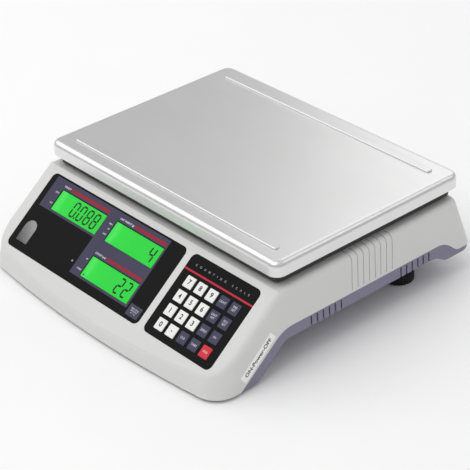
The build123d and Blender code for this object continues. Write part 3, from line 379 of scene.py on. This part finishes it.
class Sheet:
    """The flat face of a CAD node that looks one way, with millimetre coordinates u and v on it."""

    def __init__(self, node, toward, along=None):
        """toward is roughly the way out of the face. u runs along the given direction or the longest edge."""
        mesh = NODES[node].data
        toward = Vector(toward).normalized()
        near = max(mesh.polygons, key=lambda p: p.area * (p.normal.dot(toward) > FACE_TOWARD))
        flat = [p for p in mesh.polygons if p.normal.dot(near.normal) > FACE_MATCH]
        self.normal = sum((p.normal * p.area for p in flat), Vector()).normalized()
        area = sum(p.area for p in flat)
        centre = sum((p.center * p.area for p in flat), Vector()) / area
        along = Vector(along) if along else self.longest_edge(mesh, flat)
        self.u_axis = (along - self.normal * along.dot(self.normal)).normalized()
        self.v_axis = self.normal.cross(self.u_axis)
        self.origin = centre
        # middle is the (u, v) centre of the face's outline box, which is not always its centre of area
        corners = [self.flat(mesh.vertices[i].co) for p in flat for i in p.vertices]
        self.middle = [(min(c[i] for c in corners) + max(c[i] for c in corners)) / 2 for i in (0, 1)]

    @staticmethod
    def longest_edge(mesh, flat):
        """The direction of the longest outer edge of the given faces. An edge met twice lies inside them."""
        sides = {}
        for polygon in flat:
            points = [tuple(mesh.vertices[i].co) for i in polygon.vertices]
            for a, b in zip(points, points[1:] + points[:1]):
                ends = frozenset((a, b))
                sides[ends] = None if ends in sides else Vector(b) - Vector(a)
        outer = [side for side in sides.values() if side is not None]
        return max(outer, key=lambda side: side.length)

    def flat(self, point):
        """(u, v) of a point, in millimetres."""
        away = point - self.origin
        return away.dot(self.u_axis) / MM, away.dot(self.v_axis) / MM

    def extent(self, node):
        """(u low, v low, u high, v high) of a node seen from above the face, in millimetres."""
        points = [self.flat(v.co) for v in NODES[node].data.vertices]
        us = [p[0] for p in points]
        vs = [p[1] for p in points]
        return min(us), min(vs), max(us), max(vs)

    def matrix(self, height):
        """From millimetres on the sheet to the frame, in metres."""
        place = Matrix((self.u_axis, self.v_axis, self.normal)).transposed().to_4x4()
        place.translation = self.origin + self.normal * height * MM
        return place @ Matrix.Scale(MM, 4)


# ---------------------------------------------------------------- thin printed solids
# millimetres: how far a print stands over its face and reaches into it, and the weld distance
INK = 0.03
SINK = 0.02
WELD = 0.00001


def settle(curve_object, sheet, low, high, ink_name, body):
    """Turns a filled curve into a thin closed mesh between two heights over the sheet, on a body."""
    name = curve_object.name
    curve = curve_object.data
    curve.extrude = (high - low) / 2
    graph = bpy.context.evaluated_depsgraph_get()
    mesh = bpy.data.meshes.new_from_object(curve_object.evaluated_get(graph))
    bpy.data.objects.remove(curve_object)
    bpy.data.curves.remove(curve)
    mesh.transform(sheet.matrix((low + high) / 2))
    form = bmesh.new()
    form.from_mesh(mesh)
    bmesh.ops.remove_doubles(form, verts=form.verts, dist=WELD * MM)
    bmesh.ops.recalc_face_normals(form, faces=form.faces)
    form.to_mesh(mesh)
    form.free()
    mesh.materials.clear()
    mesh.materials.append(INKS[ink_name])
    mesh.name = name
    piece = bpy.data.objects.new(name, mesh)
    bpy.context.scene.collection.objects.link(piece)
    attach(piece, body)


def print_shape(name, sheet, outlines, ink_name, low=-SINK, high=INK, body="root"):
    """Prints closed outlines on a sheet. An outline inside another one is a hole."""
    curve = bpy.data.curves.new(name, "CURVE")
    curve.dimensions = "2D"
    curve.fill_mode = "BOTH"
    for outline in outlines:
        spline = curve.splines.new("POLY")
        spline.points.add(len(outline) - 1)
        for point, (u, v) in zip(spline.points, outline):
            point.co = (u, v, 0.0, 1.0)
        spline.use_cyclic_u = True
    drawn = bpy.data.objects.new(name, curve)
    bpy.context.scene.collection.objects.link(drawn)
    bpy.context.view_layer.update()
    settle(drawn, sheet, low, high, ink_name, body)


CAP_SHARE = 0.7
TEXT_STEPS = 4


def print_text(name, sheet, words, at, cap, ink_name, anchor="CENTER", low=-SINK, high=INK,
               spacing=1.0, leading=1.0, weight=0.0, widest=None, body="root"):
    """Prints plain words on a sheet.

    at is the (u, v) of the anchor at mid height, and cap is the height of a capital. weight thickens the
    strokes on each side, and widest is the room there is: longer words are made smaller. All are in
    millimetres. spacing and leading are the shares of the usual letter and line spacing.
    """
    curve = bpy.data.curves.new(name, "FONT")
    curve.body = words
    curve.size = cap / CAP_SHARE
    curve.align_x = anchor
    curve.align_y = "CENTER"
    curve.space_character = spacing
    curve.space_line = leading
    curve.offset = weight
    curve.resolution_u = TEXT_STEPS
    drawn = bpy.data.objects.new(name, curve)
    bpy.context.scene.collection.objects.link(drawn)
    bpy.context.view_layer.update()
    if widest:
        graph = bpy.context.evaluated_depsgraph_get()
        width = drawn.evaluated_get(graph).dimensions.x
        curve.size *= min(1.0, widest / width)
    settle(drawn, Shifted(sheet, at), low, high, ink_name, body)


class Shifted:
    """A sheet whose zero is moved to the point (u, v)."""

    def __init__(self, sheet, at):
        self.sheet = sheet
        self.at = at

    def matrix(self, height):
        """From millimetres on the moved sheet to the frame, in metres."""
        return self.sheet.matrix(height) @ Matrix.Translation((self.at[0], self.at[1], 0.0))


def rectangle(left, bottom, right, top, radius=0.0, steps=6):
    """A rectangle's outline, with round corners if a radius is given."""
    if radius == 0.0:
        return [(left, bottom), (right, bottom), (right, top), (left, top)]
    centres = [(right - radius, bottom + radius, -90), (right - radius, top - radius, 0),
               (left + radius, top - radius, 90), (left + radius, bottom + radius, 180)]
    points = []
    for u, v, start in centres:
        for step in range(steps + 1):
            turn = math.radians(start + 90 * step / steps)
            points.append((u + radius * math.cos(turn), v + radius * math.sin(turn)))
    return points


def disc(u, v, radius, steps=24):
    """A circle's outline."""
    turns = [2 * math.pi * step / steps for step in range(steps)]
    return [(u + radius * math.cos(t), v + radius * math.sin(t)) for t in turns]


# ---------------------------------------------------------------- seven-segment digits, millimetres
DIGIT_H = 17.6
DIGIT_W = 8.1
DIGIT_PITCH = 10.8
DIGIT_SLANT = math.tan(math.radians(4.5))
STROKE = 1.95
SEGMENT_GAP = 0.2
DIGIT_MARGIN = 5.0
POINT_SHARE = 0.55
SEGMENTS = {"0": "abcdef", "2": "abged", "4": "fgbc", "8": "abcdefg"}


def segment(letter):
    """The outline of one segment of an upright digit whose lower left corner is (0, 0)."""
    mid = DIGIT_H / 2
    half = STROKE / 2
    lying = {"a": DIGIT_H - half, "g": mid, "d": half}
    if letter in lying:
        v = lying[letter]
        left = half + SEGMENT_GAP
        right = DIGIT_W - half - SEGMENT_GAP
        points = [(left, v), (left + half, v + half), (right - half, v + half)]
        return points + [(right, v), (right - half, v - half), (left + half, v - half)]
    u = half if letter in "ef" else DIGIT_W - half
    low = half if letter in "ec" else mid
    bottom = low + SEGMENT_GAP
    top = low + mid - half - SEGMENT_GAP
    points = [(u, bottom), (u + half, bottom + half), (u + half, top - half)]
    return points + [(u, top), (u - half, top - half), (u - half, bottom + half)]


def slanted(outline, left, bottom):
    """An upright outline leaned to the right and moved to its place."""
    return [(left + u + v * DIGIT_SLANT, bottom + v) for u, v in outline]


def show_number(name, sheet, window, words):
    """Digits set from the right end of a display. window is its (u low, v low, u high, v high)."""
    _, bottom, right, top = window
    base = (bottom + top - DIGIT_H) / 2
    start = right - DIGIT_MARGIN - DIGIT_W - DIGIT_H * DIGIT_SLANT
    outlines = []
    for word in reversed(words):
        if word == ".":
            point = disc(DIGIT_W + (DIGIT_PITCH - DIGIT_W) / 2, STROKE / 2, STROKE * POINT_SHARE, 12)
            outlines.append(slanted(point, start, base))
            continue
        outlines += [slanted(segment(letter), start, base) for letter in SEGMENTS[word]]
        start -= DIGIT_PITCH
    print_shape(name, sheet, outlines, "lcd_segment")


# ---------------------------------------------------------------- display overlay, millimetres
ALONG = (1.0, 0.0, 0.0)
PANEL_OUT = (0.0, -1.0, 1.0)
DISPLAYS = ("lcd_weight", "lcd_unit_weight", "lcd_count")
READINGS = ("0.088", "4", "22")
# the black overlay left bare round each window: the wider rim at the left and top is a painted shadow of the
# recess
WINDOW_SHADOW_RIM = 0.9
WINDOW_THIN_RIM = 0.3
WINDOW_RIM_R = 0.8
SLATE_TOP = 1.9
SLATE_LEFT = 7.6
SLATE_SIDE = 2.3
SLATE_BELOW = 2.4
SLATE_FOOT = 2.6
STEP_OUT = 0.4
BAR_T = 3.1
BAR_GAP = 2.6
BAR_CUT = 0.8
HEADING_GAP = 1.2
HEADING_CAP = 1.9
HEADING_WEIGHT = 0.06
NOTE_GAP = 2.6
NOTE_CAP = 1.5
NOTE_WEIGHT = 0.04
OVER_SLATE = 2 * INK
# the heading of each display, and how far along the display its bar starts
HEADINGS = {
    "weight": ("WEIGHT", 0.145),
    "unit_weight": ("UNIT WEIGHT (g)", 0.33),
    "count": ("COUNT (pcs)", 0.24),
}
# the words beside each display, and how far up the display each one stands
NOTES = {
    "weight": (("ZERO", 0.78), ("NET", 0.24)),
    "unit_weight": (("HIGH", 0.76), ("OK", 0.53), ("LOW", 0.25)),
    "count": (("M+", 0.76), ("STABLE", 0.22)),
}
RANGE_WORDS = "MAX 30 kg\nMIN 20 g\nd = 1 g"
RANGE_CAP = 1.6
RANGE_LEADING = 0.95
RANGE_GAP = 4.8
RANGE_RISE = 4.0
RANGE_W = 17.0
RANGE_H = 12.0
LAMP_INSET = 4.6
LAMP_UP = 20.0
LAMP_R = 1.1
LAMP_TOP = 0.12
MARK_LEFT = 2.0
MARK_FOOT = 1.7
MARK_W = 2.6
MARK_H = 2.2


def slate_zone(sheet, windows):
    """The slate field that frames the three displays, with a hole for each, wider than its window at the left
    and top as a painted shadow of the window's recess.
    """
    panel = sheet.extent("display_overlay")
    weight, each, count = (windows[name] for name in DISPLAYS)
    left = panel[0] + SLATE_LEFT
    top = panel[3] - SLATE_TOP
    step = weight[2] + STEP_OUT
    right = each[2] + SLATE_SIDE
    shelf = weight[1] - SLATE_BELOW
    foot = count[1] - SLATE_FOOT
    outer = [(left, shelf), (step, shelf), (step, foot), (right, foot), (right, top), (left, top)]
    rims = []
    # painted shadow: each hole is wider at the left and top of its window
    for window in windows.values():
        low_u, low_v, high_u, high_v = window
        corner = (high_u + WINDOW_THIN_RIM, high_v + WINDOW_SHADOW_RIM)
        rims.append(rectangle(low_u - WINDOW_SHADOW_RIM, low_v - WINDOW_THIN_RIM, *corner, WINDOW_RIM_R))
    print_shape("slate_field", sheet, [outer] + rims, "slate_print")


def bar_heading(sheet, name, window, bar_end):
    """A red bar over a display, its lower left corner cut off, with the heading to the left of it."""
    words, share = HEADINGS[name]
    low_u, _, high_u, high_v = window
    middle = high_v + BAR_GAP + BAR_T / 2
    start = low_u + (high_u - low_u) * share
    outline = rectangle(start, middle - BAR_T / 2, bar_end, middle + BAR_T / 2)
    outline[0] = (outline[0][0] + BAR_CUT, outline[0][1])
    print_shape(name + "_bar", sheet, [outline], "red_bar", 0.0, OVER_SLATE)
    at = (start - HEADING_GAP, middle)
    print_text(name + "_heading", sheet, words, at, HEADING_CAP, "white_print", "RIGHT",
               low=0.0, high=OVER_SLATE, weight=HEADING_WEIGHT)


def side_notes(sheet, name, window):
    """Small status words to the left of a display."""
    low_u, low_v, _, high_v = window
    for number, (word, share) in enumerate(NOTES[name], 1):
        at = (low_u - NOTE_GAP, low_v + (high_v - low_v) * share)
        print_text(f"{name}_note_{number}", sheet, word, at, NOTE_CAP, "white_print", "RIGHT",
                   low=0.0, high=OVER_SLATE, weight=NOTE_WEIGHT)


def print_range_box(sheet, left, top):
    """A slate box with the range lines in it."""
    box = rectangle(left, top - RANGE_H, left + RANGE_W, top)
    print_shape("range_box", sheet, [box], "slate_print")
    at = (left + RANGE_W / 2, top - RANGE_H / 2)
    print_text("range_text", sheet, RANGE_WORDS, at, RANGE_CAP, "white_print",
               leading=RANGE_LEADING, low=0.0, high=OVER_SLATE)


def print_display_overlay():
    """Everything printed on the left overlay, and the digits in its windows."""
    sheet = Sheet("display_overlay", PANEL_OUT, ALONG)
    windows = {name: sheet.extent(name) for name in DISPLAYS}
    weight, each, count = (windows[name] for name in DISPLAYS)
    panel = sheet.extent("display_overlay")
    slate_zone(sheet, windows)
    bar_heading(sheet, "weight", weight, weight[2] + STEP_OUT)
    bar_heading(sheet, "unit_weight", each, each[2])
    bar_heading(sheet, "count", count, count[2])
    side_notes(sheet, "weight", weight)
    side_notes(sheet, "unit_weight", each)
    side_notes(sheet, "count", count)
    print_range_box(sheet, each[2] + RANGE_GAP, count[1] + RANGE_RISE)
    lamp = disc(weight[2] - LAMP_INSET, panel[1] + LAMP_UP, LAMP_R)
    print_shape("charge_lamp", sheet, [lamp], "grey_print", -SINK, LAMP_TOP)
    glasses = {name: Sheet(name, PANEL_OUT, ALONG) for name in DISPLAYS}
    for (name, glass), reading in zip(glasses.items(), READINGS):
        show_number(name + "_digits", glass, glass.extent(name), reading)
    print_count_mark(glasses["lcd_count"])


def print_count_mark(glass):
    """The small triangle at the lower left of the count display."""
    low_u, low_v, _, _ = glass.extent("lcd_count")
    left = low_u + MARK_LEFT
    foot = low_v + MARK_FOOT
    mark = [(left, foot), (left + MARK_W, foot), (left + MARK_W / 2, foot + MARK_H)]
    print_shape("lcd_count_mark", glass, [mark], "lcd_segment")


# ---------------------------------------------------------------- keypad, millimetres
LEGENDS = {
    "function_key_1": "LIGHT",
    "function_key_2": "PRE\nSET",
    "function_key_3": "UNIT\nWT",
    "function_key_4": "PCS\nSET",
    "function_key_5": "ZERO",
    "function_key_6": "M+",
    "function_key_7": "CLR",
    "function_key_8": "TARE",
}
DIGIT_CAP = 5.0
DIGIT_WEIGHT = 0.17
POINT_R = 0.75
WORD_CAP = 2.2
WORD_WIDEST = 9.6
ADD_WIDEST = 6.0
RULE_T = 1.9
RULE_RISE = 4.45
HEADER_CAP = 2.1
HEADER_RISE = 7.1
HEADER_WIDEST = 76.0
HEADER_SPACING = 3.5
HEADER_WEIGHT = 0.05


def is_key(node):
    """Whether a node is one of the twenty keys."""
    return node == "red_key" or (node.startswith(("key_", "function_key_")) and node != "key_domes")


def print_keys():
    """A legend on each key, which moves with that key."""
    for node in filter(is_key, NODES):
        sheet = Sheet(node, PANEL_OUT, ALONG)
        place = tuple(sheet.middle)
        legend = node + "_legend"
        if node == "key_point":
            print_shape(legend, sheet, [disc(*place, POINT_R)], "dark_ink", body=node)
        elif node in LEGENDS:
            words = LEGENDS[node]
            print_text(legend, sheet, words, place, WORD_CAP, "white_print", body=node, widest=WORD_WIDEST)
        elif node == "red_key":
            print_text(legend, sheet, "ADD", place, WORD_CAP, "white_print", body=node, widest=ADD_WIDEST)
        else:
            digit = node.split("_")[1]
            print_text(legend, sheet, digit, place, DIGIT_CAP, "dark_ink", body=node, weight=DIGIT_WEIGHT)


def print_keypad_overlay():
    """The header and red rule over the keys."""
    sheet = Sheet("keypad_overlay", PANEL_OUT, ALONG)
    left, _, right, _ = sheet.extent("keypad_overlay")
    rule = sheet.extent("key_7")[3] + RULE_RISE
    outline = rectangle(left, rule - RULE_T / 2, right, rule + RULE_T / 2)
    print_shape("keypad_rule", sheet, [outline], "red_line")
    at = ((left + right) / 2, rule + HEADER_RISE)
    print_text("keypad_header", sheet, "COUNTING SCALE", at, HEADER_CAP, "grey_print",
               spacing=HEADER_SPACING, widest=HEADER_WIDEST, weight=HEADER_WEIGHT)


# ---------------------------------------------------------------- switch label, millimetres
LABEL_OUT = (1.0, 0.0, 0.0)
LABEL_CAP = 4.6
LABEL_WIDEST = 41.0
LABEL_WEIGHT = 0.14


def print_switch_label():
    """The on and off legend on the label, read upward along its long edge."""
    label = Sheet("switch_label", LABEL_OUT)
    if label.u_axis.z < 0:
        label.u_axis = -label.u_axis
        label.v_axis = -label.v_axis
    print_text("power_legend", label, "ON-Power-OFF", (0.0, 0.0), LABEL_CAP, "dark_ink",
               widest=LABEL_WIDEST, weight=LABEL_WEIGHT)


dress_nodes()
print_display_overlay()
print_keypad_overlay()
print_keys()
print_switch_label()


# ---------------------------------------------------------------- camera and studio
CAMERA_AT = Vector((1.17327, -0.97238, 0.95777))
YAW = math.radians(49.911)
PITCH = math.radians(31.149)
ROLL = math.radians(-2.539)
LENS = 136.68
SENSOR = 36.0

FLOOR_REACH = 6.0
HORIZON_LIGHT = 0.5
OVERHEAD_LIGHT = 0.66
HORIZON_TOP_Z = 0.12
OVERHEAD_Z = 0.8

# place, aim, side in metres and power in watts of each soft box
LIGHTS = {
    "top_light": ((0.1, -1.2, 2.3), (0, 0, 0), 1.8, 17.0),
    "back_light": ((-0.9, 2.1, 1.7), (0, 0, 0.05), 1.8, 7.5),
    "left_edge_light": ((-1.7, -0.6, 1.75), (0, 0, 0.1), 2.0, 12.0),
    "right_edge_light": ((1.1, 1.35, 1.55), (0, 0, 0.1), 0.7, 1.5),
}


def add_camera():
    """The camera. Yaw turns left from +Y, pitch looks down, and roll turns it about its own line of sight."""
    share = math.cos(PITCH)
    forward = Vector((-math.sin(YAW) * share, math.cos(YAW) * share, -math.sin(PITCH)))
    level = Vector((math.cos(YAW), math.sin(YAW), 0.0))
    up = level.cross(forward)
    right = level * math.cos(ROLL) + up * math.sin(ROLL)
    top = up * math.cos(ROLL) - level * math.sin(ROLL)
    turn = Matrix((right, top, -forward)).transposed()
    data = bpy.data.cameras.new("camera")
    data.lens = LENS
    data.sensor_width = SENSOR
    camera = bpy.data.objects.new("camera", data)
    camera.matrix_world = Matrix.Translation(CAMERA_AT) @ turn.to_4x4()
    bpy.context.scene.collection.objects.link(camera)
    bpy.context.scene.camera = camera


def add_light(name, at, aim, size, power):
    """A square white soft box at one point, aimed at another."""
    data = bpy.data.lights.new(name, "AREA")
    data.size = size
    data.energy = power
    light = bpy.data.objects.new(name, data)
    light.location = at
    light.rotation_euler = (Vector(aim) - Vector(at)).to_track_quat("-Z", "Y").to_euler()
    bpy.context.scene.collection.objects.link(light)


def add_floor():
    """A wide pale floor."""
    mesh = bpy.data.meshes.new("floor")
    corners = [(u, v, 0) for u, v in rectangle(-FLOOR_REACH, -FLOOR_REACH, FLOOR_REACH, FLOOR_REACH)]
    mesh.from_pydata(corners, [], [(0, 1, 2, 3)])
    floor = bpy.data.objects.new("floor", mesh)
    bpy.context.scene.collection.objects.link(floor)
    material = moulded("floor", FLOOR_WHITE, rough=(0.85, 0.95), grain=300.0, vary=0.005)
    floor.data.materials.append(material)


def add_world():
    """A white surround, brighter overhead than at the horizon."""
    world = bpy.data.worlds.new("studio")
    world.use_nodes = True
    nodes = world.node_tree.nodes
    links = world.node_tree.links
    background = nodes["Background"]
    background.inputs["Color"].default_value = (1.0, 1.0, 1.0, 1.0)
    place = nodes.new("ShaderNodeTexCoord")
    axes = nodes.new("ShaderNodeSeparateXYZ")
    links.new(place.outputs["Generated"], axes.inputs["Vector"])
    height = axes.outputs["Z"]
    strength = map_range(nodes, links, height, HORIZON_LIGHT, OVERHEAD_LIGHT, HORIZON_TOP_Z, OVERHEAD_Z)
    links.new(strength, background.inputs["Strength"])
    bpy.context.scene.world = world


add_camera()
add_floor()
add_world()
for light_name, (light_at, light_aim, light_size, light_power) in LIGHTS.items():
    add_light(light_name, light_at, light_aim, light_size, light_power)
bpy.context.scene.view_settings.view_transform = "Standard"
